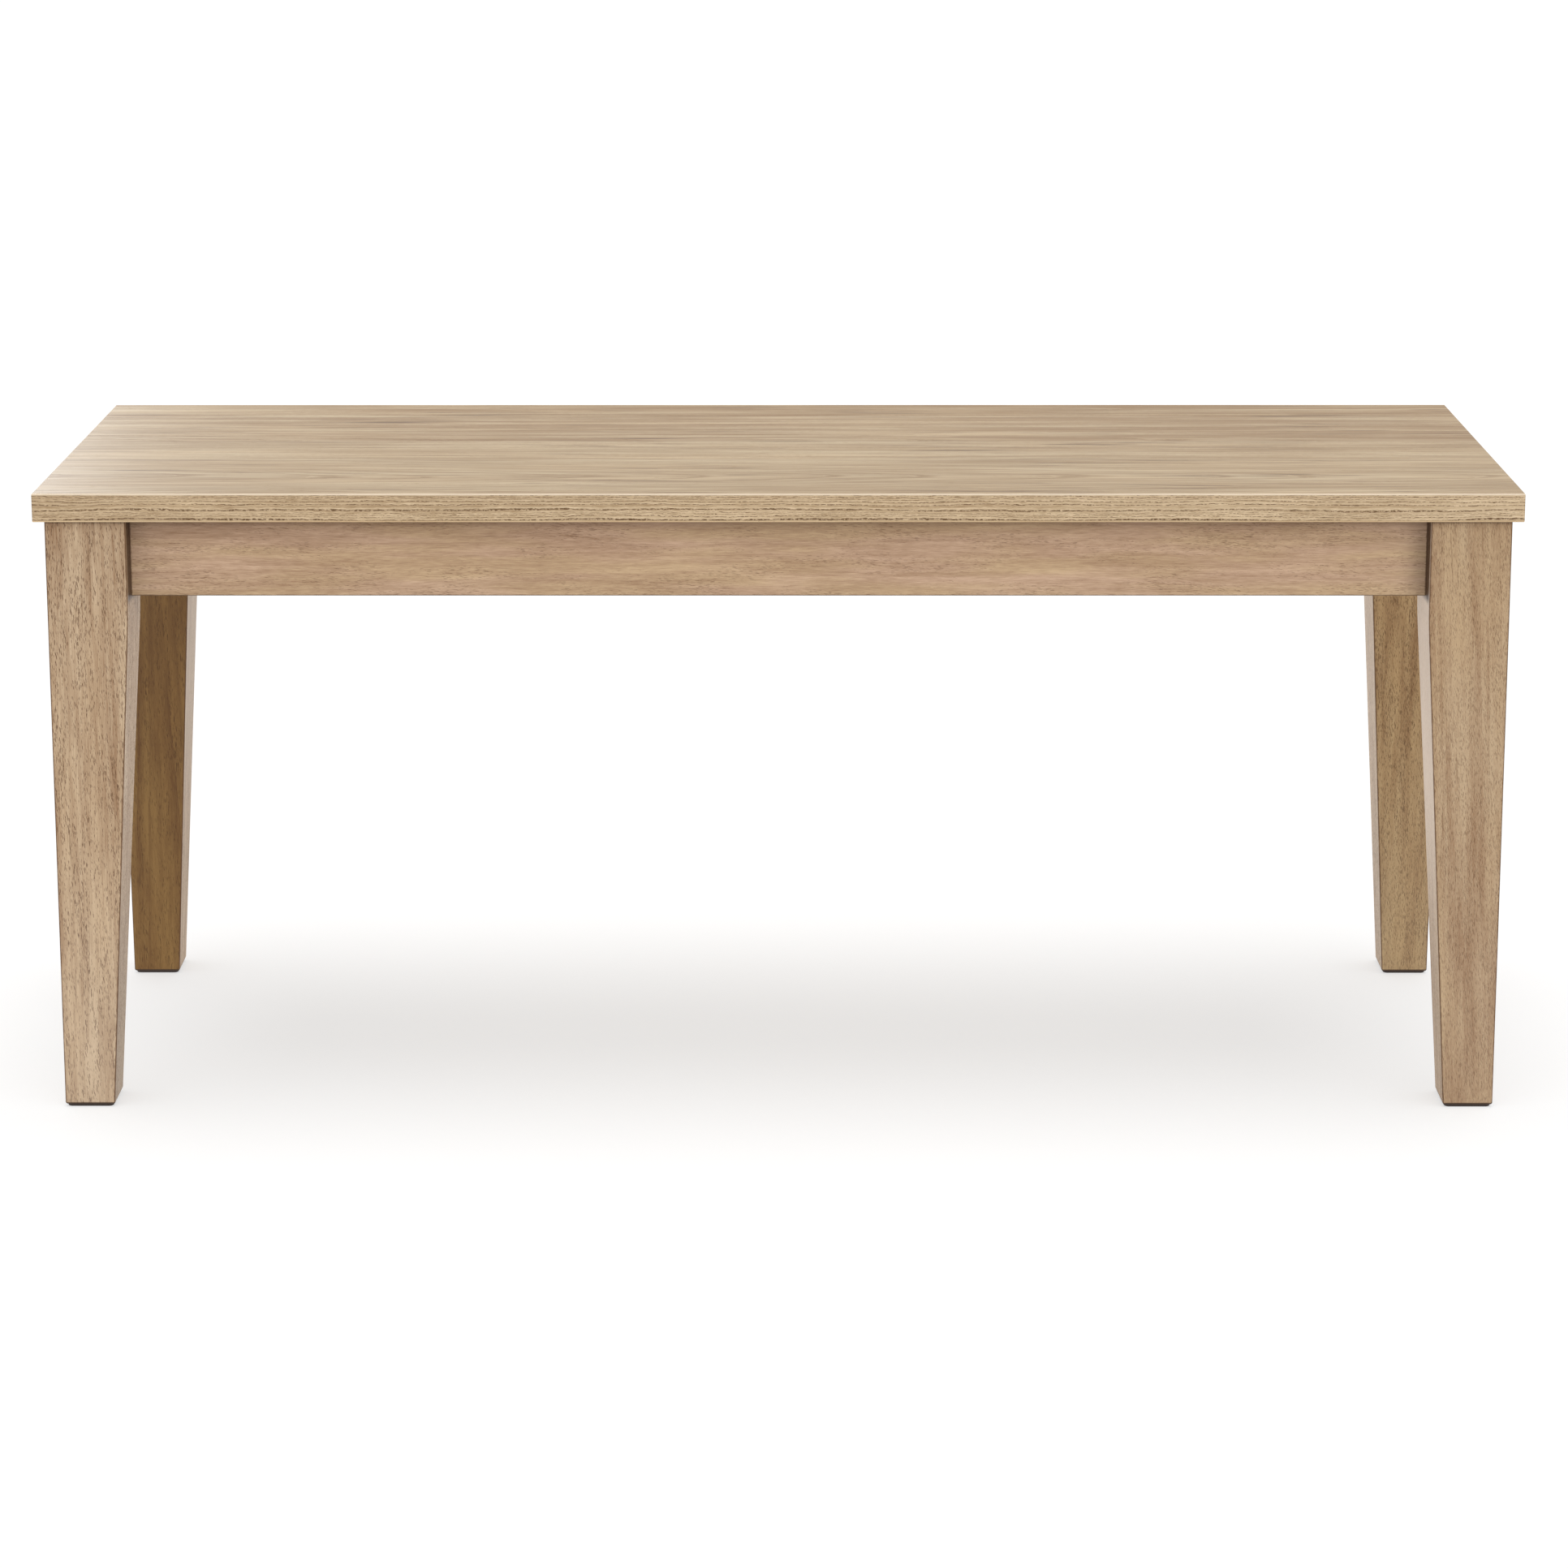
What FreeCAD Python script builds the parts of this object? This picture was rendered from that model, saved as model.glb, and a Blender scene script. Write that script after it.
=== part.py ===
import FreeCAD, Part
import math
import os

# Long rectangular wooden table on four legs that taper on their two inner faces.
# Millimetres. +X runs along the table, +Y to the back, +Z up.
# The origin is on the floor, under the middle of the top.
V = FreeCAD.Vector
TOLERANCE = 0.01

# Overall size
LENGTH = 1800.0
DEPTH = 630.0
HEIGHT = 780.0

# Top: a core with solid edge bands, sawn veneer leaves above and a backing below
TOP_THICK = 35.0
VENEER = 2.0
BACKING = 2.0
BAND = 12.0
ARRIS = 0.8
LEAF_SHARES = {"front": 0.355, "mid_front": 0.205, "mid_back": 0.290, "back": 0.150}

# Legs
OVERHANG = 12.0
LEG_HEAD = 98.0
LEG_FOOT = 61.5
KNEE_Z = 621.0
KNEE_RADIUS = 800.0
LEG_ARRIS = 1.6
FOOT_ROUND = 3.0
LEG_CHAMFER = 20.0

# Glides under the feet
GLIDE_SIDE = 57.0
GLIDE_THICK = 3.0
GLIDE_CORNER = 6.0
GLIDE_RIM = 0.8
GLIDE_WELL_DEEP = 0.8
NAIL_DIA = 2.5
NAIL_LENGTH = 22.0
NAIL_HEAD_DIA = 7.0
NAIL_HEAD_THICK = 1.0
NAIL_TIP = 4.0
NAIL_POINT_RADIUS = 0.2

# Aprons
APRON_HIGH = 100.0
APRON_THICK = 28.0
APRON_SETBACK = 30.0
APRON_ARRIS = 1.0

# Corner blocks, set across the inside corners
BLOCK_THICK = 30.0
BLOCK_HIGH = 70.0
BLOCK_GAP = 8.0

# Hanger bolts, washers and nuts (M8)
BOLT_DIA = 8.0
BOLT_LENGTH = 100.0
BOLT_IN_LEG = 50.0
BOLT_CHAMFER = 1.2
BOLT_DROPS = (18.0, 52.0)
WASHER_DIA = 20.0
WASHER_THICK = 1.6
NUT_FLATS = 13.0
NUT_HIGH = 6.5
NUT_FACE_RADIUS = 6.95
NUT_CHAMFER_ANGLE = 30.0

# Countersunk wood screws
SCREW_DIA = 4.5
SCREW_LENGTH = 45.0
SCREW_HEAD_DIA = 8.8
SCREW_HEAD_HIGH = 2.6
SCREW_HEAD_RIM = 0.4
SCREW_TIP = 6.0
SCREW_POINT_RADIUS = 0.4
SCREW_RECESS_DIA = 3.4
SCREW_RECESS_DEEP = 1.8
SCREW_RECESS_FLOOR = 1.2
BORE_DIA = 12.0
TOP_SCREW_GRIP = 22.0
TOP_SCREW_OFFSET = 25.0
WING_SCREW_DROPS = (12.0, 58.0)
WING_SCREW_IN_APRON = 20.0

# Dowels
DOWEL_DIA = 10.0
DOWEL_LENGTH = 50.0
DOWEL_DROPS = (25.0, 75.0)
BRACE_DOWEL_DIA = 8.0
BRACE_DOWEL_LENGTH = 36.0
BRACE_DOWEL_IN_APRON = 16.0
DOWEL_CHAMFER = 1.0

# Cross braces under the top
BRACE_X = 280.0
BRACE_WIDE = 62.0
BRACE_THICK = 22.0
BRACE_DOWEL_SPACING = 34.0
BRACE_SCREW_Y = 150.0

UNDERSIDE_Z = HEIGHT - TOP_THICK
APRON_Z = UNDERSIDE_Z - APRON_HIGH
CORE_THICK = TOP_THICK - VENEER - BACKING
LEG_X = LENGTH / 2 - OVERHANG
LEG_Y = DEPTH / 2 - OVERHANG
APRON_OUT_X = LEG_X - APRON_SETBACK
APRON_OUT_Y = LEG_Y - APRON_SETBACK
APRON_IN_X = APRON_OUT_X - APRON_THICK
APRON_IN_Y = APRON_OUT_Y - APRON_THICK
LONG_APRON = 2 * (LEG_X - LEG_HEAD)
SHORT_APRON = 2 * (LEG_Y - LEG_HEAD)
ROOT2 = math.sqrt(2.0)

CORNERS = {
    "front_left": (-1, -1),
    "front_right": (1, -1),
    "back_left": (-1, 1),
    "back_right": (1, 1),
}


def box_between(x0, x1, y0, y1, z0, z1):
    """A box given by its limits along each axis."""
    return Part.makeBox(x1 - x0, y1 - y0, z1 - z0, V(x0, y0, z0))


def rod(radius, start, direction, length, chamfer=0.0):
    """A cylinder from start along direction, with an optional chamfer at both ends."""
    unit = V(direction).normalize()
    solid = Part.makeCylinder(radius, length, start, unit)
    if chamfer > 0:
        rims = [e for e in solid.Edges if isinstance(e.Curve, Part.Circle)]
        solid = solid.makeChamfer(chamfer, rims)
    return solid


def polygon_prism(points, vector):
    """A flat polygon swept along a vector."""
    return Part.Face(Part.makePolygon(points + points[:1])).extrude(vector)


def mirrored(shape, side_x, side_y):
    """A shape drawn for the right back corner, moved to the corner with these signs."""
    if side_x < 0:
        shape = shape.mirror(V(0, 0, 0), V(1, 0, 0))
    if side_y < 0:
        shape = shape.mirror(V(0, 0, 0), V(0, 1, 0))
    return shape


def at_corners(shapes):
    """Copies of some shapes at all four corners."""
    return [mirrored(s, sx, sy) for sx, sy in CORNERS.values() for s in shapes]


def without(shape, tools):
    """The shape with every tool cut out of it."""
    near = [t for t in tools if t.BoundBox.intersect(shape.BoundBox)]
    return shape.cut(near) if near else shape


def long_edges(shape, least):
    """The edges of a shape that are at least this long."""
    return [e for e in shape.Edges if e.Length >= least]


# --- hardware, drawn for the right back corner ---


def corner_point(distance, along=0.0, z=0.0):
    """A point on the corner's diagonal, at a distance inward from the leg's chamfer.

    along moves it sideways, towards the back apron.
    """
    chamfer_x = LEG_X - LEG_HEAD + LEG_CHAMFER / 2
    chamfer_y = LEG_Y - LEG_HEAD + LEG_CHAMFER / 2
    return V(
        chamfer_x - (distance + along) / ROOT2,
        chamfer_y - (distance - along) / ROOT2,
        z,
    )


def bolt_heights():
    return [UNDERSIDE_Z - drop for drop in BOLT_DROPS]


def hanger_bolts():
    """Two bolts, screwed into the leg and passing through the corner block."""
    out = V(-1, -1, 0)
    starts = [corner_point(-BOLT_IN_LEG, 0, z) for z in bolt_heights()]
    return [rod(BOLT_DIA / 2, s, out, BOLT_LENGTH, BOLT_CHAMFER) for s in starts]


def washers():
    """Flat washers against the corner block's inner face."""
    found = []
    for z in bolt_heights():
        start = corner_point(BLOCK_GAP + BLOCK_THICK, 0, z)
        disc = Part.makeCylinder(WASHER_DIA / 2, WASHER_THICK, start, V(-1, -1, 0))
        hole = Part.makeCylinder(BOLT_DIA / 2, WASHER_THICK, start, V(-1, -1, 0))
        found.append(disc.cut(hole))
    return found


def hexagon(flats):
    """Corner points of a hexagon in the XY plane."""
    radius = flats / math.sqrt(3.0)
    angles = [math.radians(60 * i) for i in range(6)]
    return [V(radius * math.cos(a), radius * math.sin(a), 0) for a in angles]


def nuts():
    """Hexagon nuts with their outer corners chamfered, tightened on the washers."""
    blank = polygon_prism(hexagon(NUT_FLATS), V(0, 0, NUT_HIGH))
    spread = NUT_HIGH / math.tan(math.radians(NUT_CHAMFER_ANGLE))
    blank = blank.common(Part.makeCone(NUT_FACE_RADIUS + spread, NUT_FACE_RADIUS, NUT_HIGH))
    blank = blank.cut(Part.makeCylinder(BOLT_DIA / 2, NUT_HIGH))
    found = []
    for z in bolt_heights():
        nut = blank.copy()
        seat = corner_point(BLOCK_GAP + BLOCK_THICK + WASHER_THICK, 0, z)
        nut.Placement = FreeCAD.Placement(seat, FreeCAD.Rotation(V(0, 0, 1), V(-1, -1, 0)))
        found.append(nut)
    return found


def wood_screw(head, direction, recessed=True):
    """A countersunk screw whose flat head face is centred at head."""
    radius = SCREW_DIA / 2
    outline = [
        V(0, 0, 0),
        V(SCREW_HEAD_DIA / 2, 0, 0),
        V(SCREW_HEAD_DIA / 2, 0, SCREW_HEAD_RIM),
        V(radius, 0, SCREW_HEAD_HIGH),
        V(radius, 0, SCREW_LENGTH - SCREW_TIP),
        V(SCREW_POINT_RADIUS, 0, SCREW_LENGTH),
        V(0, 0, SCREW_LENGTH),
    ]
    screw = Part.Face(Part.makePolygon(outline + outline[:1])).revolve(V(0, 0, 0), V(0, 0, 1), 360)
    if recessed:
        recess = Part.makeCone(SCREW_RECESS_DIA / 2, SCREW_RECESS_FLOOR / 2, SCREW_RECESS_DEEP)
        screw = screw.cut(recess)
    screw.Placement = FreeCAD.Placement(head, FreeCAD.Rotation(V(0, 0, 1), V(direction)))
    return screw


def wing_screw_places():
    """Head centre and direction of each screw from the corner block into the aprons."""
    middle = corner_point(BLOCK_GAP + BLOCK_THICK / 2)
    across_x = middle.x + middle.y - APRON_IN_Y
    across_y = middle.x + middle.y - APRON_IN_X
    back = SCREW_LENGTH - WING_SCREW_IN_APRON
    places = []
    for drop in WING_SCREW_DROPS:
        z = UNDERSIDE_Z - drop
        places.append((V(across_x, APRON_IN_Y - back, z), V(0, 1, 0)))
        places.append((V(APRON_IN_X - back, across_y, z), V(1, 0, 0)))
    return places


def block_screws(recessed=True):
    return [wood_screw(head, direction, recessed) for head, direction in wing_screw_places()]


def block_top_screw_heads():
    """Where the screws up into the top start, two in each corner block."""
    middle = BLOCK_GAP + BLOCK_THICK / 2
    z = UNDERSIDE_Z - TOP_SCREW_GRIP
    return [corner_point(middle, side * TOP_SCREW_OFFSET, z) for side in (-1, 1)]


def brace_screw_heads():
    z = UNDERSIDE_Z - TOP_SCREW_GRIP
    return [V(BRACE_X, BRACE_SCREW_Y, z)]


def top_screws(recessed=True):
    heads = block_top_screw_heads() + brace_screw_heads()
    return [wood_screw(head, V(0, 0, 1), recessed) for head in heads]


def apron_dowels():
    """Dowels that locate the apron ends on the leg."""
    half = DOWEL_LENGTH / 2
    mid_x = APRON_OUT_X - APRON_THICK / 2
    mid_y = APRON_OUT_Y - APRON_THICK / 2
    found = []
    for drop in DOWEL_DROPS:
        z = UNDERSIDE_Z - drop
        long_start = V(LEG_X - LEG_HEAD - half, mid_y, z)
        short_start = V(mid_x, LEG_Y - LEG_HEAD - half, z)
        found.append(rod(DOWEL_DIA / 2, long_start, V(1, 0, 0), DOWEL_LENGTH, DOWEL_CHAMFER))
        found.append(rod(DOWEL_DIA / 2, short_start, V(0, 1, 0), DOWEL_LENGTH, DOWEL_CHAMFER))
    return found


def brace_dowels():
    """Two dowels at each end of a cross brace."""
    z = UNDERSIDE_Z - BRACE_THICK / 2
    start_y = APRON_IN_Y + BRACE_DOWEL_IN_APRON - BRACE_DOWEL_LENGTH
    found = []
    for side in (-1, 1):
        start = V(BRACE_X + side * BRACE_DOWEL_SPACING / 2, start_y, z)
        found.append(rod(BRACE_DOWEL_DIA / 2, start, V(0, 1, 0), BRACE_DOWEL_LENGTH, DOWEL_CHAMFER))
    return found


def foot_centre():
    return V(LEG_X - LEG_FOOT / 2, LEG_Y - LEG_FOOT / 2, 0)


def glide_nail():
    """A flat-headed nail up through the glide into the foot."""
    middle = foot_centre()
    shank_z = GLIDE_WELL_DEEP + NAIL_HEAD_THICK
    shank_long = NAIL_LENGTH - NAIL_TIP
    head = Part.makeCylinder(NAIL_HEAD_DIA / 2, NAIL_HEAD_THICK, middle + V(0, 0, GLIDE_WELL_DEEP))
    shank = Part.makeCylinder(NAIL_DIA / 2, shank_long, middle + V(0, 0, shank_z))
    tip = Part.makeCone(NAIL_DIA / 2, NAIL_POINT_RADIUS, NAIL_TIP, middle + V(0, 0, shank_z + shank_long))
    return head.fuse([shank, tip]).removeSplitter()


# --- wooden parts, drawn for the right back corner ---


def leg_profile():
    """Outline of a leg seen square on: u is the distance in from the plumb outer face."""
    lean = math.atan((LEG_HEAD - LEG_FOOT) / KNEE_Z)
    tangent = KNEE_RADIUS * math.tan(lean / 2)
    foot_u = LEG_HEAD - (LEG_HEAD - LEG_FOOT) * (KNEE_Z - GLIDE_THICK) / KNEE_Z
    upper = (LEG_HEAD, KNEE_Z + tangent)
    lower = (LEG_HEAD - tangent * math.sin(lean), KNEE_Z - tangent * math.cos(lean))
    middle = (
        LEG_HEAD - KNEE_RADIUS * (1 - math.cos(lean / 2)),
        KNEE_Z + tangent - KNEE_RADIUS * math.sin(lean / 2),
    )
    return foot_u, lower, middle, upper


def leg_prism(axis_x):
    """The leg profile swept square across the leg, along Y if axis_x, else along X."""
    foot_u, lower, middle, upper = leg_profile()

    def place(u, z):
        return V(LEG_X - u, LEG_Y, z) if axis_x else V(LEG_X, LEG_Y - u, z)

    start = place(0, GLIDE_THICK)
    foot = place(foot_u, GLIDE_THICK)
    head = place(LEG_HEAD, UNDERSIDE_Z)
    outer = place(0, UNDERSIDE_Z)
    edges = [
        Part.makeLine(start, foot),
        Part.makeLine(foot, place(*lower)),
        Part.Arc(place(*lower), place(*middle), place(*upper)).toShape(),
        Part.makeLine(place(*upper), head),
        Part.makeLine(head, outer),
        Part.makeLine(outer, start),
    ]
    sweep = V(0, -LEG_HEAD, 0) if axis_x else V(-LEG_HEAD, 0, 0)
    return Part.Face(Part.Wire(edges)).extrude(sweep)


def leg_blank():
    """A leg with plumb outer faces, tapered inner faces and eased edges."""
    leg = leg_prism(True).common(leg_prism(False)).Solids[0]
    upright = [e for e in leg.Edges if e.BoundBox.ZLength > 40]
    leg = leg.makeFillet(LEG_ARRIS, upright)
    foot = [e for e in leg.Edges if e.BoundBox.ZMax < GLIDE_THICK + TOLERANCE]
    leg = leg.makeFillet(FOOT_ROUND, foot).Solids[0]
    inner_x = LEG_X - LEG_HEAD
    inner_y = LEG_Y - LEG_HEAD
    corner = [
        V(inner_x - 1, inner_y - 1, APRON_Z),
        V(inner_x + LEG_CHAMFER + 1, inner_y - 1, APRON_Z),
        V(inner_x - 1, inner_y + LEG_CHAMFER + 1, APRON_Z),
    ]
    return leg.cut(polygon_prism(corner, V(0, 0, APRON_HIGH + 1)))


def corner_block():
    """A block across the inside corner, its ends mitred to lie on both aprons."""
    outer = corner_point(BLOCK_GAP)
    inner = corner_point(BLOCK_GAP + BLOCK_THICK)
    far = outer.x + outer.y
    near = inner.x + inner.y
    z = UNDERSIDE_Z - BLOCK_HIGH
    points = [
        V(far - APRON_IN_Y, APRON_IN_Y, z),
        V(near - APRON_IN_Y, APRON_IN_Y, z),
        V(APRON_IN_X, near - APRON_IN_X, z),
        V(APRON_IN_X, far - APRON_IN_X, z),
    ]
    block = polygon_prism(points, V(0, 0, BLOCK_HIGH))
    bores = []
    for head in block_top_screw_heads():
        bores.append(Part.makeCylinder(BORE_DIA / 2, head.z - z, V(head.x, head.y, z)))
    for head, direction in wing_screw_places():
        bores.append(Part.makeCylinder(BORE_DIA / 2, BLOCK_THICK * 2, head, -direction))
    return without(block, bores)


def long_apron():
    """Apron between the back legs, with eased lower edges."""
    half = LONG_APRON / 2
    apron = box_between(-half, half, APRON_IN_Y, APRON_OUT_Y, APRON_Z, UNDERSIDE_Z)
    lower = [e for e in long_edges(apron, half) if e.BoundBox.ZMax < APRON_Z + TOLERANCE]
    return apron.makeFillet(APRON_ARRIS, lower)


def short_apron():
    """Apron between the two right legs, with eased lower edges."""
    half = SHORT_APRON / 2
    apron = box_between(APRON_IN_X, APRON_OUT_X, -half, half, APRON_Z, UNDERSIDE_Z)
    lower = [e for e in long_edges(apron, half) if e.BoundBox.ZMax < APRON_Z + TOLERANCE]
    return apron.makeFillet(APRON_ARRIS, lower)


def cross_brace():
    """Flat brace from apron to apron, tight under the top."""
    brace = box_between(
        BRACE_X - BRACE_WIDE / 2,
        BRACE_X + BRACE_WIDE / 2,
        -APRON_IN_Y,
        APRON_IN_Y,
        UNDERSIDE_Z - BRACE_THICK,
        UNDERSIDE_Z,
    )
    lower = [e for e in long_edges(brace, 300) if e.BoundBox.ZMax < UNDERSIDE_Z - 1]
    return brace.makeFillet(APRON_ARRIS, lower)


def foot_glide():
    """A thin square glide with rounded corners under the foot."""
    middle = foot_centre()
    half = GLIDE_SIDE / 2
    plate = box_between(
        middle.x - half, middle.x + half, middle.y - half, middle.y + half, 0, GLIDE_THICK
    )
    corners = [e for e in plate.Edges if abs(e.BoundBox.ZLength - GLIDE_THICK) < TOLERANCE]
    plate = plate.makeFillet(GLIDE_CORNER, corners)
    rim = [e for e in plate.Edges if e.BoundBox.ZMax < TOLERANCE]
    plate = plate.makeFillet(GLIDE_RIM, rim)
    well = Part.makeCylinder(NAIL_HEAD_DIA / 2, GLIDE_WELL_DEEP, middle)
    return plate.cut(well)


# --- the top ---


def top_core():
    half_x = LENGTH / 2 - BAND
    half_y = DEPTH / 2 - BAND
    z = UNDERSIDE_Z + BACKING
    return box_between(-half_x, half_x, -half_y, half_y, z, z + CORE_THICK)


def backing_veneer():
    half_x = LENGTH / 2
    half_y = DEPTH / 2
    sheet = box_between(-half_x, half_x, -half_y, half_y, UNDERSIDE_Z, UNDERSIDE_Z + BACKING)
    rim = [e for e in sheet.Edges if e.BoundBox.ZMax < UNDERSIDE_Z + TOLERANCE]
    return sheet.makeChamfer(ARRIS, rim)


def edge_bands():
    """The four solid lippings round the core."""
    half_x = LENGTH / 2
    half_y = DEPTH / 2
    z0 = UNDERSIDE_Z + BACKING
    z1 = z0 + CORE_THICK
    inner_y = half_y - BAND
    return {
        "edge_band_front": box_between(-half_x, half_x, -half_y, -inner_y, z0, z1),
        "edge_band_back": box_between(-half_x, half_x, inner_y, half_y, z0, z1),
        "edge_band_left": box_between(-half_x, BAND - half_x, -inner_y, inner_y, z0, z1),
        "edge_band_right": box_between(half_x - BAND, half_x, -inner_y, inner_y, z0, z1),
    }


def face_leaves():
    """The veneer leaves of the top face, laid lengthwise side by side."""
    half_x = LENGTH / 2
    z0 = HEIGHT - VENEER
    leaves = {}
    y = -DEPTH / 2
    for place, share in LEAF_SHARES.items():
        y1 = y + share * DEPTH
        leaf = box_between(-half_x, half_x, y, y1, z0, HEIGHT)
        leaves["face_veneer_" + place] = leaf.makeChamfer(ARRIS, outer_rim(leaf))
        y = y1
    return leaves


def outer_rim(leaf):
    """The upper edges of a leaf that lie on the outside of the top."""
    found = []
    for edge in leaf.Edges:
        box = edge.BoundBox
        at_end = abs(box.XMin) > LENGTH / 2 - TOLERANCE and box.XLength < TOLERANCE
        at_side = abs(box.YMin) > DEPTH / 2 - TOLERANCE and box.YLength < TOLERANCE
        if box.ZMin > HEIGHT - TOLERANCE and (at_end or at_side):
            found.append(edge)
    return found


# --- assembly ---


def build():
    """Every node of the table, by name."""
    bolts = at_corners(hanger_bolts())
    dowels = at_corners(apron_dowels())
    ties = at_corners(brace_dowels())
    nails = at_corners([glide_nail()])
    screw_holes = at_corners(block_screws(False) + top_screws(False))
    hardware = bolts + screw_holes + dowels + ties + nails

    nodes = {
        "top_core": without(top_core(), screw_holes),
        "backing_veneer": without(backing_veneer(), screw_holes),
    }
    nodes.update(edge_bands())
    nodes.update(face_leaves())

    leg = leg_blank()
    block = corner_block()
    glide = foot_glide()
    for corner, (sx, sy) in CORNERS.items():
        nodes["leg_" + corner] = without(mirrored(leg, sx, sy), hardware)
        nodes["corner_block_" + corner] = without(mirrored(block, sx, sy), hardware)
        nodes["foot_glide_" + corner] = without(mirrored(glide, sx, sy), nails)

    nodes["apron_back"] = without(long_apron(), hardware)
    nodes["apron_front"] = without(mirrored(long_apron(), 1, -1), hardware)
    nodes["apron_right"] = without(short_apron(), hardware)
    nodes["apron_left"] = without(mirrored(short_apron(), -1, 1), hardware)
    nodes["cross_brace_right"] = without(cross_brace(), hardware)
    nodes["cross_brace_left"] = without(mirrored(cross_brace(), -1, 1), hardware)

    nodes["hanger_bolts"] = Part.makeCompound(bolts)
    nodes["hanger_washers"] = Part.makeCompound(at_corners(washers()))
    nodes["hanger_nuts"] = Part.makeCompound(at_corners(nuts()))
    nodes["corner_block_screws"] = Part.makeCompound(at_corners(block_screws()))
    nodes["top_screws"] = Part.makeCompound(at_corners(top_screws()))
    nodes["apron_dowels"] = Part.makeCompound(dowels)
    nodes["brace_dowels"] = Part.makeCompound(ties)
    nodes["glide_nails"] = Part.makeCompound(nails)
    return nodes


os.makedirs("parts", exist_ok=True)
for name, shape in build().items():
    shape.exportStep(os.path.join("parts", name + ".step"))
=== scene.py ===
import math

import bpy
from mathutils import Matrix, Vector


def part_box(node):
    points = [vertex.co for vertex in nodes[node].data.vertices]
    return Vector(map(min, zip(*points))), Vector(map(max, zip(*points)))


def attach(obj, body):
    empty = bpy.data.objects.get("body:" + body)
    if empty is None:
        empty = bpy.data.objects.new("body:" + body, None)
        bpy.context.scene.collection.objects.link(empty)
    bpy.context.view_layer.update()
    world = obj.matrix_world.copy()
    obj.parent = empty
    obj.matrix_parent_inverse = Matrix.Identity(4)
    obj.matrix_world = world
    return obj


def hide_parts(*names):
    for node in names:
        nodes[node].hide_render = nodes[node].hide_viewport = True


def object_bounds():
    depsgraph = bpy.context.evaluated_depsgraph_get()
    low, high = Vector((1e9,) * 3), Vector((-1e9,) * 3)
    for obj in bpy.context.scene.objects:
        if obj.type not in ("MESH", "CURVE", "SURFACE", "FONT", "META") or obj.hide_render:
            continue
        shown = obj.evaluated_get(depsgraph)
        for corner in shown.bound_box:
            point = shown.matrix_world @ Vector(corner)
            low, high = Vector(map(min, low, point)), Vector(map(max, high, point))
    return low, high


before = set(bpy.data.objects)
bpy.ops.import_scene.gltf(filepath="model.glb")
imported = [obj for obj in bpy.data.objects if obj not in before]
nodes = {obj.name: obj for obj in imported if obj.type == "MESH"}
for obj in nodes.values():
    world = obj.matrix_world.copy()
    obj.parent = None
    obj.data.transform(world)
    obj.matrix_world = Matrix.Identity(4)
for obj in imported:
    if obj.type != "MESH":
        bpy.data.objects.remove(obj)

cad_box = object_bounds()
MM = 1000.0  # millimetres in a metre
CORNERS = {"front_left": (-1, -1), "front_right": (1, -1), "back_left": (-1, 1), "back_right": (1, 1)}
WALLS = {"front": "xz", "back": "xz", "left": "yz", "right": "yz"}  # and the grain of the boards there


def srgb(r, g, b):
    """A colour given in 0-255 display values, as linear RGBA."""
    def channel(c):
        c = c / 255
        return c / 12.92 if c <= 0.04045 else ((c + 0.055) / 1.055) ** 2.4
    return (channel(r), channel(g), channel(b), 1.0)


def linked(name, data):
    """A new object in the scene."""
    made = bpy.data.objects.new(name, data)
    bpy.context.scene.collection.objects.link(made)
    return made


# --- materials as node trees ---


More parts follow.
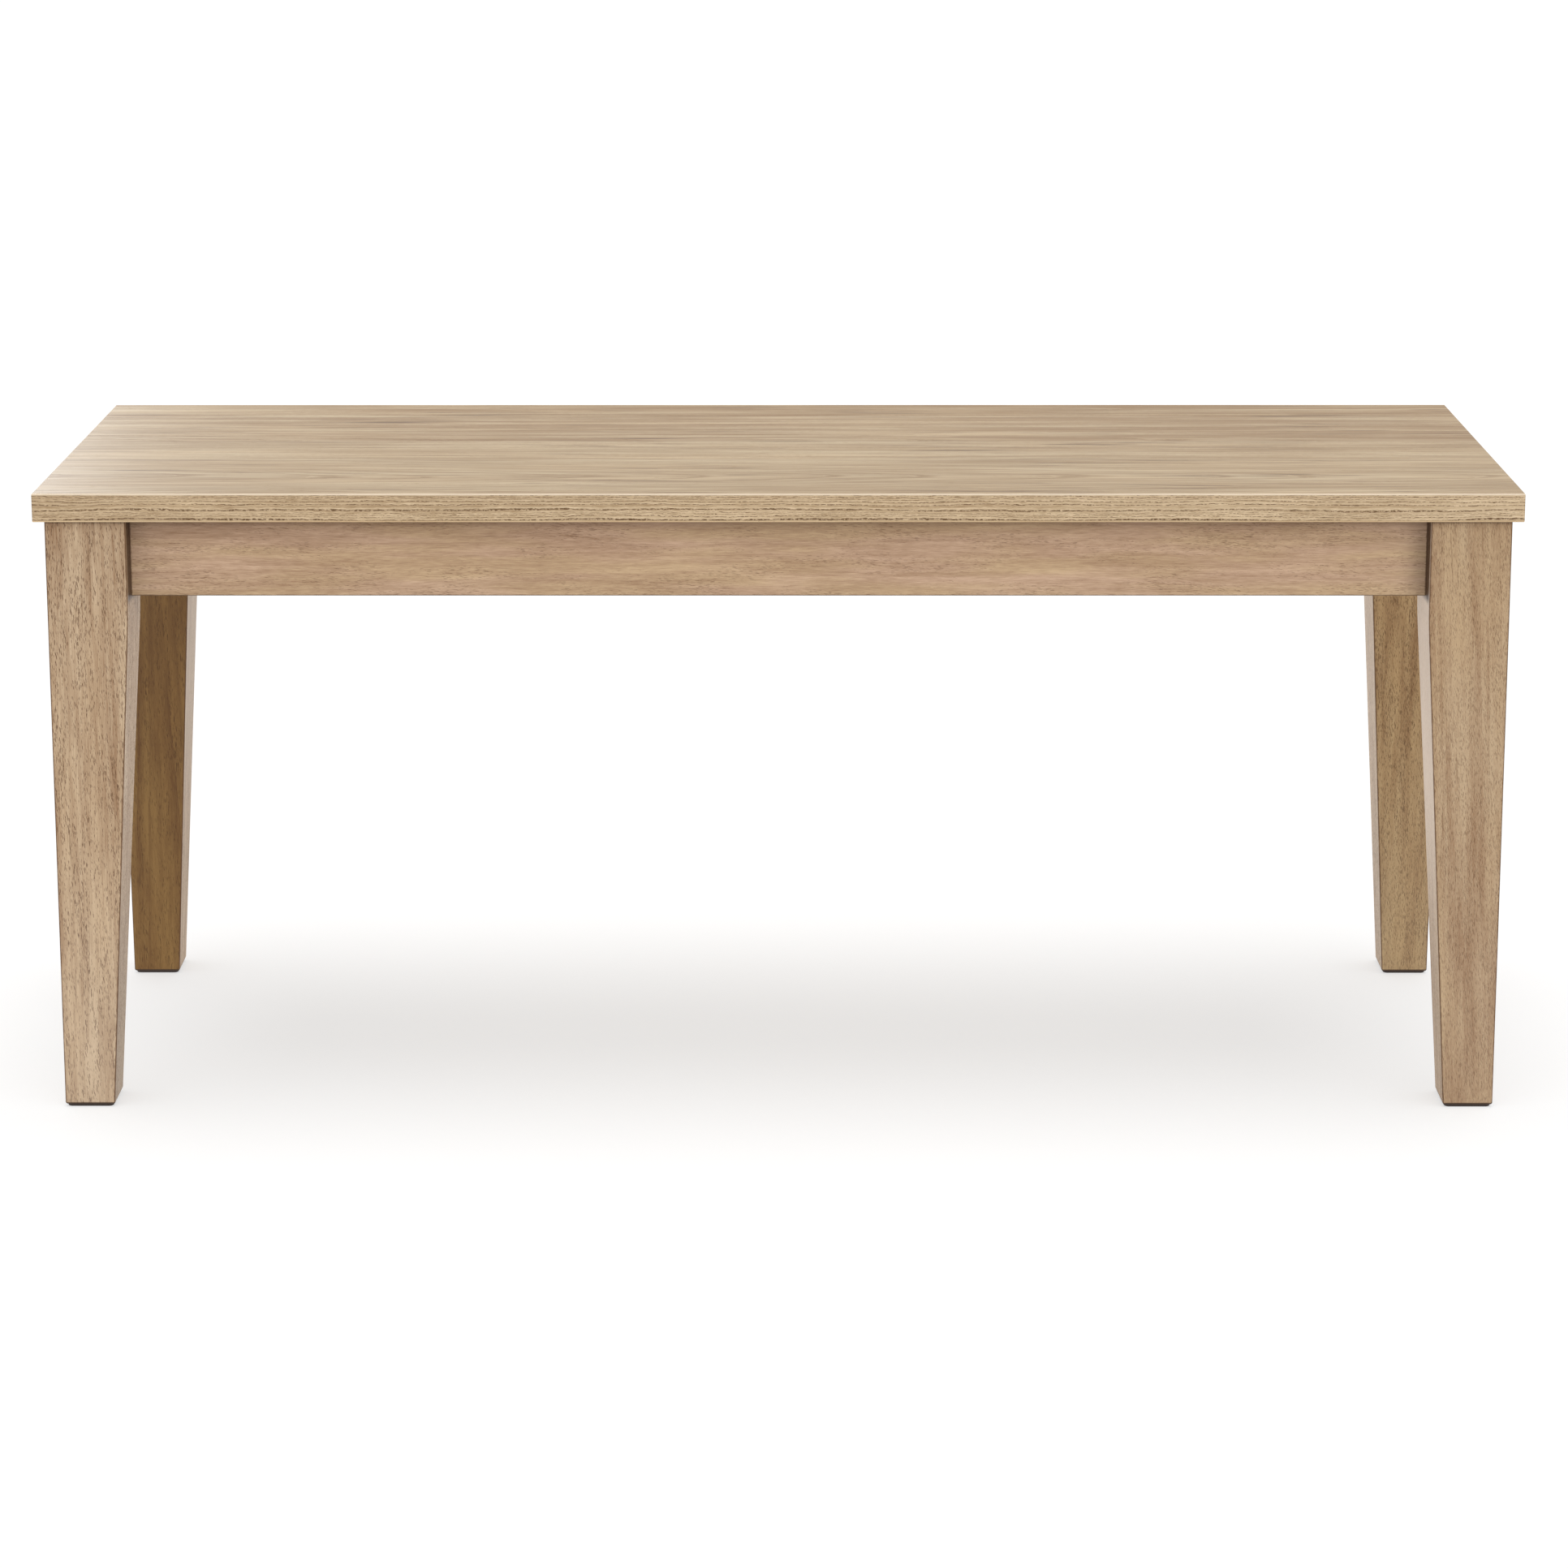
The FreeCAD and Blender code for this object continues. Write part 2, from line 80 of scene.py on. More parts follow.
class Graph:
    """A material's node tree, with short calls for the nodes used here."""

    def __init__(self, name):
        self.material = bpy.data.materials.new(name)
        self.material.use_nodes = True
        self.tree = self.material.node_tree
        self.tree.nodes.clear()

    def add(self, kind, **settings):
        node = self.tree.nodes.new("ShaderNode" + kind)
        for key, value in settings.items():
            setattr(node, key, value)
        return node

    def put(self, socket, value):
        if isinstance(value, bpy.types.NodeSocket):
            self.tree.links.new(value, socket)
        elif value is not None:
            socket.default_value = value

    def math(self, op, a, b=None, c=None, clamp=False):
        node = self.add("Math", operation=op, use_clamp=clamp)
        for socket, value in zip(node.inputs, (a, b, c)):
            self.put(socket, value)
        return node.outputs[0]

    def vector(self, op, a, b=None):
        node = self.add("VectorMath", operation=op)
        self.put(node.inputs[0], a)
        self.put(node.inputs[1], b)
        return node.outputs["Value" if op == "LENGTH" else "Vector"]

    def combine(self, x, y, z):
        node = self.add("CombineXYZ")
        for socket, value in zip(node.inputs, (x, y, z)):
            self.put(socket, value)
        return node.outputs[0]

    def split(self, vector):
        node = self.add("SeparateXYZ")
        self.put(node.inputs[0], vector)
        return node.outputs

    def coordinates(self, scale):
        """Object coordinates times a scale."""
        return self.vector("MULTIPLY", self.add("TexCoord").outputs["Object"], (scale, scale, scale))

    def noise(self, vector, detail=2.0, rough=0.5, colour=False):
        node = self.add("TexNoise")
        self.put(node.inputs["Vector"], vector)
        node.inputs["Scale"].default_value = 1.0
        node.inputs["Detail"].default_value = detail
        node.inputs["Roughness"].default_value = rough
        return node.outputs["Color" if colour else "Fac"]

    def cells(self, vector):
        """Distance to the nearest scattered point, and that point's own random number."""
        node = self.add("TexVoronoi", feature="F1")
        self.put(node.inputs["Vector"], vector)
        node.inputs["Scale"].default_value = 1.0
        return node.outputs["Distance"], self.split(node.outputs["Color"])[0]

    def step(self, value, low, high, to_low=0.0, to_high=1.0):
        """A smooth step from to_low at low to to_high at high."""
        node = self.add("MapRange", interpolation_type="SMOOTHSTEP")
        for key, item in (("Value", value), ("From Min", low), ("From Max", high),
                          ("To Min", to_low), ("To Max", to_high)):
            self.put(node.inputs[key], item)
        return node.outputs["Result"]

    def blend(self, factor, a, b, mode="MIX"):
        node = self.add("Mix", data_type="RGBA", blend_type=mode)
        self.put(node.inputs[0], factor)
        self.put(node.inputs[6], a)
        self.put(node.inputs[7], b)
        return node.outputs[2]

    def surface(self, colour, roughness, height=None, depth=0.0002, **fixed):
        """A Principled surface with bump. fixed values go on the shader's own sockets."""
        shader = self.add("BsdfPrincipled")
        self.put(shader.inputs["Base Color"], colour)
        self.put(shader.inputs["Roughness"], roughness)
        for key, value in fixed.items():
            shader.inputs[key.replace("_", " ")].default_value = value
        if height is not None:
            bump = self.add("Bump")
            bump.inputs["Strength"].default_value = 1.0
            bump.inputs["Distance"].default_value = depth
            self.put(bump.inputs["Height"], height)
            self.tree.links.new(bump.outputs[0], shader.inputs["Normal"])
        output = self.add("OutputMaterial")
        self.tree.links.new(shader.outputs[0], output.inputs[0])
        return self.material


# Which object axis runs along the grain, across the face and through the thickness
GRAIN = {"x": (0, 1, 2), "y": (1, 0, 2), "z": (2, 0, 1), "xz": (0, 2, 1), "yz": (1, 2, 0)}


class Board(Graph):
    """The graph of a piece of wood cut from a log.

    u runs along the grain, v across the face and w through the thickness, in millimetres from the
    board's middle. axes holds the same place in metres along X, Y and Z. Sizes in look are millimetres.
    """

    knot_parting = 0.75  # how far the grain gives way to a knot
    uneven_rings = 3.2  # how far the rings stray from even spacing, in rings
    pore_lean = (0.73, 0.41)  # keeps the cells that hold the pores from lining up
    under_top = (0.019, 0.006)  # the painted shade under the top comes in between these depths
    rim = (0.0010, 0.0004)  # the painted highlight on the top's rim comes in between these distances from its edge
    last_seam = (0.015, 0.011)  # seams fade out between these distances from the top's long edges
    seam_dark = (7.0, 2.0)
    # the painted highlight along a seam comes in between these distances from the leaf's edge
    seam_highlight = (2.4, 1.2)

    def __init__(self, node, grain, look, seed):
        super().__init__(node)
        self.low, self.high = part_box(node)
        self.centre = (self.low + self.high) / 2
        self.order = GRAIN[grain]
        self.look = look
        self.offset = ((seed * 7.31) % 50.0, (seed * 3.7) % 40.0, (seed * 1.9) % 30.0)
        self.axes = self.split(self.add("TexCoord").outputs["Object"])
        u, v, w = (self.from_middle(i) for i in self.order)
        if look["slant"]:
            v = self.math("MULTIPLY_ADD", u, look["slant"], v)
        for knot in look["knots"]:
            v, w = self.around_knot(u, v, w, *knot)
        self.u = u
        self.sawn = self.combine(u, v, w)
        self.grown = self.wandering()

    def from_middle(self, axis):
        return self.math("MULTIPLY_ADD", self.axes[axis], MM, -MM * self.centre[axis])

    def stretched(self, base, key, extra):
        """Coordinates that give a noise look's length along the grain and width across it.

        extra shifts them, to set one noise apart from another.
        """
        along, across = self.look[key + "_long"], self.look[key + "_wide"]
        scaled = self.vector("MULTIPLY", base, (1 / along, 1 / across, 1 / across))
        return self.vector("ADD", scaled, [value + extra for value in self.offset])

    def near(self, u, v, place_u, place_v, wide, long):
        """1 at a place, falling to 0 over wide and long millimetres around it."""
        du = self.math("DIVIDE", self.math("SUBTRACT", u, place_u), long)
        dv = self.math("DIVIDE", self.math("SUBTRACT", v, place_v), wide)
        square = self.math("MULTIPLY_ADD", du, du, self.math("MULTIPLY", dv, dv))
        return self.math("EXPONENT", self.math("MULTIPLY", square, -1.0))

    def around_knot(self, u, v, w, place_u, place_v, wide):
        """Grain coordinates that part around a knot."""
        pull = self.near(u, v, place_u, place_v, wide * 3.0, wide * 7.0)
        off = self.math("SUBTRACT", v, place_v)
        v = self.math("MULTIPLY_ADD", self.math("MULTIPLY", off, pull), -self.knot_parting, v)
        return v, self.math("MULTIPLY_ADD", pull, wide * 1.5, w)

    def knot_heart(self, colour, place_u, place_v, wide):
        """The small dark heart of a knot."""
        u, v = (self.from_middle(i) for i in self.order[:2])
        heart = self.near(u, v, place_u, place_v, wide * 0.45, wide * 1.6)
        return self.blend(self.math("MULTIPLY", heart, 0.6), colour, srgb(*self.look["pores"]))

    def wandering(self):
        """The sawn board's coordinates, bent by the slow wander and the fine wobble of the grain."""
        grown = self.sawn
        for key, extra in (("wave", 0.0), ("wobble", 5.0)):
            bend = self.noise(self.stretched(self.sawn, key, extra), 2.0, 0.5, colour=True)
            bend = self.vector("SUBTRACT", bend, (0.5, 0.5, 0.5))
            bend = self.vector("MULTIPLY", bend, (0.0, self.look[key], self.look[key]))
            grown = self.vector("ADD", grown, bend)
        return grown

    def growth_rings(self):
        """Works out early and late wood, the open dashes in early wood, and where the rings show."""
        look = self.look
        pith_v, pith_w = look["pith"]
        # The pith lies along u
        from_pith = self.vector("SUBTRACT", self.grown, (0.0, pith_v, pith_w))
        from_pith = self.vector("MULTIPLY", from_pith, (0.0, 1.0, 1.0))
        radius = self.math("MULTIPLY_ADD", self.u, look["taper"], self.vector("LENGTH", from_pith))
        rings = self.math("DIVIDE", radius, look["ring"])
        uneven = self.noise(self.combine(self.math("MULTIPLY", rings, 0.33), self.offset[0], 0.0), 2.0)
        rings = self.math("MULTIPLY_ADD", uneven, self.uneven_rings, rings)
        phase = self.math("FRACT", rings)
        opens = self.step(phase, 0.0, 0.10)
        self.early = self.math("MULTIPLY", opens, self.step(phase, look["row"], look["row"] * 0.35))
        self.late = self.math("POWER", phase, 3.0)

        # Each ring's dashes start at a place of their own
        apart = self.combine(self.math("MULTIPLY", self.math("FLOOR", rings), 13.7), 0.0, 0.0)
        dash = self.noise(self.vector("ADD", self.stretched(self.grown, "dash", 0.0), apart), 3.0, 0.65)
        dash = self.step(dash, look["dash_from"], look["dash_from"] + 0.14)
        dash = self.math("MULTIPLY", dash, self.early)
        patch = self.noise(self.stretched(self.grown, "patch", 91.0), 2.0, 0.6)
        self.dash = self.math("MULTIPLY", dash, self.step(patch, 0.3, 0.65, look["dash_low"], 1.0))
        shows = self.noise(self.stretched(self.grown, "show", 61.0), 2.0, 0.5)
        self.shown = self.step(shows, 0.38, 0.62, look["shown"], 1.0)

    def ground(self):
        """The wood's colour: clouds, long streaks, fine fibres and growth rings."""
        look = self.look
        tone = self.math("MULTIPLY_ADD", self.u, look["fade"] / MM, look["tone"])
        for key, extra in (("cloud", 11.0), ("streak", 23.0), ("fibre", 37.0)):
            layer = self.noise(self.stretched(self.grown, key, extra), 3.0, 0.6)
            tone = self.math("MULTIPLY_ADD", self.math("SUBTRACT", layer, 0.5), look[key], tone)
        self.fibre = layer  # the last of the three
        ring_tone = self.math("SUBTRACT", self.late, self.math("MULTIPLY", self.early, look["early"]))
        ring_tone = self.math("MULTIPLY", ring_tone, self.shown)
        tone = self.math("MULTIPLY_ADD", ring_tone, look["late"], tone, clamp=True)
        hue = self.step(self.noise(self.stretched(self.grown, "hue", 71.0), 2.0, 0.5), 0.36, 0.64)
        light = self.blend(hue, srgb(*look["light"]), srgb(*look["warm"]))
        return self.blend(tone, light, srgb(*look["dark"]))

    def lines(self, colour):
        """Narrow soft-ended lines: a dark one, and a pale one beside it."""
        look = self.look
        line = self.noise(self.stretched(self.grown, "line", 51.0), 3.0, 0.5)
        group = self.noise(self.stretched(self.grown, "hue", 59.0), 2.0, 0.5)
        group = self.step(group, 0.42, 0.6, 0.25, 1.0)
        dark_line = self.step(line, look["line_from"], look["line_from"] + 0.11, 0.0, look["line"])
        colour = self.blend(self.math("MULTIPLY", dark_line, group), colour, srgb(*look["streaked"]))
        pale_line = self.math("MULTIPLY", self.step(line, 0.38, 0.26), look["pale"])
        return self.blend(self.math("MULTIPLY", pale_line, group), colour, srgb(*look["paled"]))

    def open_pores(self, colour):
        """Open pores, gathered in rows where the wood is ring-porous."""
        look = self.look
        rows = self.math("MULTIPLY_ADD", self.early, look["rows"], 1.0 - look["rows"])
        patch = self.noise(self.stretched(self.grown, "patch", 67.0), 2.0, 0.5)
        patch = self.step(patch, 0.35, 0.62, look["patch_low"], 1.0)
        along, across, through = self.split(self.stretched(self.grown, "pore", 5.0))
        lean_across, lean_through = self.pore_lean
        along = self.math("MULTIPLY_ADD", through, lean_through, along)
        along = self.math("MULTIPLY_ADD", across, lean_across, along)
        distance, chance = self.cells(self.combine(along, across, through))
        size = self.math("MULTIPLY_ADD", self.math("POWER", chance, 1.8), 1.05, 0.25)
        reach = self.math("MULTIPLY", rows, patch)
        reach = self.math("MULTIPLY", reach, self.math("MULTIPLY", size, look["pore"]))
        pores = self.step(self.math("SUBTRACT", reach, distance), 0.0, look["pore_soft"])
        half_dark = 0.5 * look["pore_dark"]
        depth = self.math("MULTIPLY", pores, self.math("MULTIPLY_ADD", chance, half_dark, half_dark))
        self.pores = self.math("MAXIMUM", pores, self.math("MULTIPLY", self.dash, look["dash"]))
        depth = self.math("MAXIMUM", depth, self.math("MULTIPLY", self.dash, look["dash"]))
        return self.blend(depth, colour, srgb(*look["pores"]))

    def painted_light_on_leg(self, colour, edge):
        """Painted light and shade on a leg: painted floor bounce towards the foot, painted light and
        painted shade on its inner faces.
        """
        look = self.look
        # painted floor bounce: paler and greyer towards the foot
        if look["floor_bounce"]:
            low = self.step(self.axes[2], *edge.foot_heights, 0.0, look["floor_bounce"])
            colour = self.blend(low, colour, srgb(*look["floor_bounce_colour"]))
        # painted light on the inner face that looks along X, above the foot
        if look["inner_face_light"]:
            inner_face_light = edge.inner_x(self, *self.axes)
            above = self.step(self.axes[2], *edge.inner_face_light_heights, 0.0, look["inner_face_light"])
            inner_face_light = self.math("MULTIPLY", inner_face_light, above)
            colour = self.blend(inner_face_light, colour, srgb(*look["inner_face_light_colour"]))
        # painted shade on the inner face that looks along Y
        if look["shaded"]:
            inner = edge.inner_y(self, *self.axes)
            colour = self.blend(inner, colour, srgb(*look["shaded"]), "MULTIPLY")
        return colour

    def glaze_and_shade(self, colour, edge):
        """Dark arris lines, partly the finish's own and partly painted shade where the aprons meet the
        legs, and painted shade in the corners where pieces of a leg's frame meet.
        """
        look = self.look
        arris = edge.distance(self, *self.axes)
        ragged = self.noise(self.stretched(self.sawn, "rag", 83.0), 3.0, 0.6)
        wide = look["glaze_wide"] / MM
        width = self.math("MULTIPLY_ADD", ragged, 1.6 * wide, 0.2 * wide)
        rim = self.step(arris, width, self.math("MULTIPLY", width, 0.35))
        # dark arris lines: the finish's own dark edges, and painted shade where the aprons meet the legs
        colour = self.blend(self.math("MULTIPLY", rim, look["glaze_and_shade"]), colour, srgb(*look["glaze_and_shade_colour"]))
        # painted shade in the corners of a leg's frame, at its foot and under the top
        if isinstance(edge, LegEdge):
            colour = self.blend(edge.recess(self, *self.axes), colour, srgb(*look["recess_shade_colour"]))
        return colour

    def painted_shade_under_top(self, colour):
        """Painted shade: a dark strip at the head of a board that stands under the top."""
        low, high = (self.high[2] - depth for depth in self.under_top)
        under = self.step(self.axes[2], low, high)
        under = self.math("MULTIPLY", under, self.look["shade"])
        return self.blend(under, colour, srgb(*self.look["glaze_and_shade_colour"]))

    def near_outline(self, axis, distances, strength=1.0):
        """strength at the table's outline along an axis, 0 further in."""
        outward = self.math("ABSOLUTE", self.axes[axis])
        inner, outer = (cad_box[1][axis] - distance for distance in distances)
        return self.step(outward, inner, outer, 0.0, strength)

    def painted_rim_highlight(self, colour):
        """A painted highlight along the rim of the table's top face."""
        ends, sides = (self.near_outline(axis, self.rim) for axis in (0, 1))
        highlighted = self.math("MULTIPLY", self.math("MAXIMUM", ends, sides), self.look["rim_highlight"])
        return self.blend(highlighted, colour, srgb(*self.look["highlighted"]))

    def seams(self, colour):
        """A broken seam where one veneer leaf meets the next: a painted highlight along it, with a dark
        line beside it.
        """
        look = self.look
        off_centre = self.math("ABSOLUTE", self.from_middle(1))
        inset = self.math("SUBTRACT", 0.5 * MM * (self.high[1] - self.low[1]), off_centre)
        inset = self.math("ADD", inset, self.near_outline(1, self.last_seam, 20.0))
        shows = self.step(self.noise(self.stretched(self.sawn, "seam", 97.0), 2.0, 0.6), 0.40, 0.62)
        beside = self.step(inset, *self.seam_dark)
        beside = self.math("MULTIPLY", beside, self.math("MULTIPLY", shows, look["seam"] * 0.6))
        colour = self.blend(beside, colour, srgb(*look["streaked"]))
        # the pale line along the seam is a painted highlight
        shows = self.noise(self.stretched(self.sawn, "seam", 43.0), 2.0, 0.6)
        shows = self.step(shows, 0.42, 0.60, 0.1, 1.0)
        seam = self.step(inset, *self.seam_highlight)
        seam = self.math("MULTIPLY", seam, self.math("MULTIPLY", shows, look["seam"]))
        return self.blend(seam, colour, srgb(*look["paled"]))

    def lacquered(self, colour):
        """The finished surface, rougher and lower in the pores."""
        look = self.look
        tooth = self.math("MULTIPLY", self.fibre, look["tooth"])
        height = self.math("MULTIPLY_ADD", self.pores, -0.8, tooth)
        roughness = self.math("MULTIPLY_ADD", self.fibre, 0.10, look["rough"] - 0.05)
        roughness = self.math("MULTIPLY_ADD", self.pores, 0.2, roughness, clamp=True)
        return self.surface(colour, roughness, height, 0.0001, Specular_IOR_Level=look["shine"])


# --- where the arrises are, in metres ---

class BoxEdge:
    """The arrises of a rectangular board."""

    def __init__(self, node, bottom_only=False):
        low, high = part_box(node)
        self.low_z = low[2]
        self.centre = (low + high) / 2
        self.half = (high - low) / 2
        self.bottom_only = bottom_only

    def inset(self, g, value, axis):
        """Distance inside the nearer of the two faces across an axis."""
        off_centre = g.math("ABSOLUTE", g.math("SUBTRACT", value, self.centre[axis]))
        return g.math("SUBTRACT", self.half[axis], off_centre)

    def distance(self, g, x, y, z):
        """Distance to the nearest arris, the upper ones left out if bottom_only."""
        a = self.inset(g, x, 0)
        b = self.inset(g, y, 1)
        c = g.math("SUBTRACT", z, self.low_z) if self.bottom_only else self.inset(g, z, 2)
        smaller = g.math("MINIMUM", a, b)
        return g.math("MAXIMUM", smaller, g.math("MINIMUM", g.math("MAXIMUM", a, b), c))


class LegEdge:
    """The arrises and inner faces of a leg, whose two inner faces taper below the knee."""

    outer_x, outer_y = 0.888, 0.303
    foot_z, knee_z, apron_z, head_z = 0.003, 0.621, 0.645, 0.745
    head_wide, taper = 0.098, 0.0365
    foot_heights = (0.42, 0.06)  # the painted floor bounce and the painted shade low on the inner face come in between these
    inner_face_light_heights = (0.14, 0.44)  # the painted light on the inner faces comes in between these
    on_face = (0.0013, 0.0005)  # a point counts as on a face between these distances

    def __init__(self, side_x, side_y, low_shade):
        self.side_x = side_x
        self.side_y = side_y
        self.low_shade = low_shade

    def width(self, g, z):
        """The leg's width at a height."""
        below = g.math("SUBTRACT", 1.0, g.math("DIVIDE", z, self.knee_z))
        drop = g.math("MULTIPLY", g.math("MAXIMUM", below, 0.0), self.taper)
        return g.math("SUBTRACT", self.head_wide, drop)

    def depth(self, g, axis, side, outer, z):
        """Distance inside the inner face that looks along an axis."""
        wide = self.width(g, z)
        return g.math("SUBTRACT", wide, g.math("MULTIPLY_ADD", axis, -side, outer))

    def distance(self, g, x, y, z):
        """Distance to the nearest arris."""
        wide = self.width(g, z)
        found = []
        for axis, side, outer in ((x, self.side_x, self.outer_x), (y, self.side_y, self.outer_y)):
            inward = g.math("MULTIPLY_ADD", axis, -side, outer)
            other = g.math("SUBTRACT", wide, inward)
            found.append(g.math("ABSOLUTE", g.math("MINIMUM", inward, other)))
        a, b = found
        c = g.math("SUBTRACT", z, self.foot_z)
        smaller = g.math("MINIMUM", a, b)
        return g.math("MAXIMUM", smaller, g.math("MINIMUM", g.math("MAXIMUM", a, b), c))

    def recess(self, g, x, y, z):
        """Painted shade: 1 on the strips of the inner faces in front of the aprons, and at the leg's foot
        and head, where shadows fall; darker low on the inner face that looks along X.
        """
        # painted shade in the reveals beside the aprons
        beside_apron = g.step(z, self.apron_z - 0.009, self.apron_z + 0.002)
        found = []
        for axis, side, outer, across, end in (
            (x, self.side_x, self.outer_x, y, self.outer_y),
            (y, self.side_y, self.outer_y, x, self.outer_x),
        ):
            inner = g.step(g.math("MULTIPLY_ADD", axis, side, self.head_wide - outer), 0.0016, 0.0004)
            back = g.step(g.math("ABSOLUTE", across), end, end - 0.009)
            found.append(g.math("MULTIPLY", inner, back))
        strips = g.math("MULTIPLY", g.math("MAXIMUM", *found), beside_apron)
        # painted shade low on the inner face that looks along X
        near_inner = g.step(self.depth(g, x, self.side_x, self.outer_x, z), 0.0012, 0.0004)
        low = g.math("MULTIPLY", near_inner, g.step(z, *self.foot_heights, 0.0, self.low_shade))
        strips = g.math("MAXIMUM", strips, low)
        # painted contact shadow at the foot and painted shadow of the top at the head
        foot = g.step(z, self.foot_z + 0.0036, self.foot_z + 0.0018)
        head = g.step(z, self.head_z - 0.0055, self.head_z - 0.002, 0.0, 0.6)
        return g.math("MAXIMUM", strips, g.math("MAXIMUM", foot, head))

    def inner_x(self, g, x, y, z):
        """1 on the inner face that looks along X."""
        depth = self.depth(g, x, self.side_x, self.outer_x, z)
        return g.step(g.math("ABSOLUTE", depth), *self.on_face)

    def inner_y(self, g, x, y, z):
        """1 on the inner face that looks along Y."""
        depth = self.depth(g, y, self.side_y, self.outer_y, z)
        return g.step(g.math("ABSOLUTE", depth), *self.on_face)


# --- looks of the woods ---

BASE = {
    "slant": 0.0, "knots": (), "taper": 0.0, "tone": 0.42, "fade": 0.0,
    "wave_long": 420.0, "wave_wide": 60.0, "wave": 7.0,
    "wobble_long": 30.0, "wobble_wide": 8.0, "wobble": 0.8,
    "show_long": 300.0, "show_wide": 40.0, "shown": 0.3, "late": 0.3, "early": 0.55, "row": 0.6,
    "cloud_long": 260.0, "cloud_wide": 40.0, "cloud": 0.6,
    "streak_long": 420.0, "streak_wide": 10.0, "streak": 0.6,
    "fibre_long": 14.0, "fibre_wide": 0.8, "fibre": 0.3,
    "hue_long": 300.0, "hue_wide": 45.0,
    "line_long": 300.0, "line_wide": 7.0, "line_from": 0.62, "line": 0.5, "pale": 0.0,
    "paled": (214, 196, 168),
    "rows": 0.0, "patch_long": 120.0, "patch_wide": 22.0, "patch_low": 0.35,
    "pore_long": 14.0, "pore_wide": 1.9, "pore": 0.30, "pore_soft": 0.10, "pore_dark": 0.75,
    "dash_long": 9.0, "dash_wide": 2.4, "dash_from": 0.44, "dash": 0.0, "dash_low": 0.4,
    # The next four lines hold the dark arris lines of the finish, which are partly painted shade; the
    # painted shade in a leg's recesses, low on its inner face and under the top; the painted floor bounce
    # and painted light on a leg; and the painted highlight on the top's rim.
    "rag_long": 14.0, "rag_wide": 5.0, "glaze_and_shade": 0.0, "glaze_wide": 1.0, "glaze_and_shade_colour": (98, 70, 46),
    "recess_shade_colour": (66, 44, 25), "low_shade": 0.10, "shade": 0.0,
    "floor_bounce": 0.0, "floor_bounce_colour": (200, 182, 165), "inner_face_light": 0.0, "inner_face_light_colour": (218, 200, 182), "shaded": (),
    "rim_highlight": 0.0, "highlighted": (222, 205, 182),
    "seam_long": 240.0, "seam_wide": 200.0, "seam": 0.0,
    "tooth": 0.25, "rough": 0.40, "shine": 0.5,
}

VENEER = dict(
    BASE, light=(178, 159, 129), warm=(178, 156, 124), dark=(137, 113, 82), streaked=(96, 72, 47),
    pores=(103, 78, 54), paled=(197, 178, 149), pith=(300.0, -80.0), ring=6.5, late=0.35, early=-0.55,
    row=0.36, shown=0.2, show_long=420.0, show_wide=30.0, wave=10.0, wobble=2.0, wobble_long=60.0,
    wobble_wide=12.0, cloud=1.2, cloud_long=460.0, cloud_wide=44.0, streak=2.2, streak_long=400.0,
    streak_wide=12.0, hue_long=360.0, hue_wide=50.0, fibre=0.7, fibre_long=60.0, fibre_wide=2.0,
    line=0.9, line_from=0.57, line_long=190.0, line_wide=6.5, pale=0.4, dash=0.42, dash_from=0.42,
    pore=0.24, pore_wide=1.8, pore_dark=0.5, patch_low=0.1, rough=0.46, shine=0.22, seam=0.55, rim_highlight=0.8,
)
BAND = dict(
    BASE, light=(218, 194, 160), warm=(214, 191, 158), dark=(157, 131, 98), streaked=(140, 112, 82),
    pores=(84, 56, 28), paled=(238, 225, 207), pith=(-260.0, -200.0), ring=2.8, late=0.5, early=-0.6,
    row=0.38, rows=0.6, shown=0.7, fade=-0.12, wave=8.0, wave_long=190.0, wave_wide=26.0, wobble=2.4,
    wobble_long=11.0, wobble_wide=5.0, cloud=0.5, streak=0.9, streak_long=60.0, streak_wide=3.0,
    fibre=1.4, line=0.0, dash=1.0, dash_long=3.4, dash_wide=1.4, dash_from=0.40, dash_low=0.85,
    pore=0.42, pore_long=3.0, pore_wide=0.7, pore_dark=0.8, patch_low=0.5, patch_long=40.0,
    patch_wide=5.0, glaze_and_shade=0.35, glaze_wide=0.8, rough=0.42, tooth=0.3, shine=0.3,
)
APRON = dict(
    BASE, light=(196, 165, 139), warm=(194, 166, 131), dark=(147, 115, 87), streaked=(118, 87, 62),
    pores=(92, 61, 37), pith=(-150.0, -120.0), ring=9.0, late=0.1, fade=-0.1, wave=10.0,
    wave_long=240.0, cloud=1.0, cloud_long=170.0, cloud_wide=24.0, hue_long=220.0, hue_wide=28.0,
    streak=0.9, streak_long=110.0, streak_wide=6.0, fibre=1.5, fibre_long=16.0, fibre_wide=1.1,
    line=0.35, line_long=60.0, line_wide=3.0, pore=0.40, pore_long=6.0, pore_wide=0.72, pore_dark=0.7,
    patch_low=0.15, glaze_and_shade=0.8, glaze_wide=1.8, glaze_and_shade_colour=(76, 51, 27), shade=0.45, shine=0.35,
)
LEG = dict(
    BASE, light=(191, 167, 137), warm=(188, 161, 128), dark=(140, 108, 78), streaked=(112, 83, 54),
    pores=(78, 45, 20), pith=(-160.0, -190.0), ring=5.0, late=0.12, row=0.8, rows=0.25,
    wobble=0.9, wobble_long=11.0, wobble_wide=4.0, cloud=1.6, cloud_long=330.0, cloud_wide=20.0,
    streak=1.1, streak_long=150.0, streak_wide=7.0, fibre=1.3, fibre_long=30.0, fibre_wide=1.0,
    line_long=120.0, line_wide=5.0, pore=0.46, pore_long=8.0, pore_wide=0.85, pore_dark=0.85,
    patch_long=110.0, patch_wide=14.0, glaze_and_shade=0.9, glaze_wide=2.0, glaze_and_shade_colour=(92, 61, 32), rough=0.46,
    tooth=0.15, shine=0.35,
)
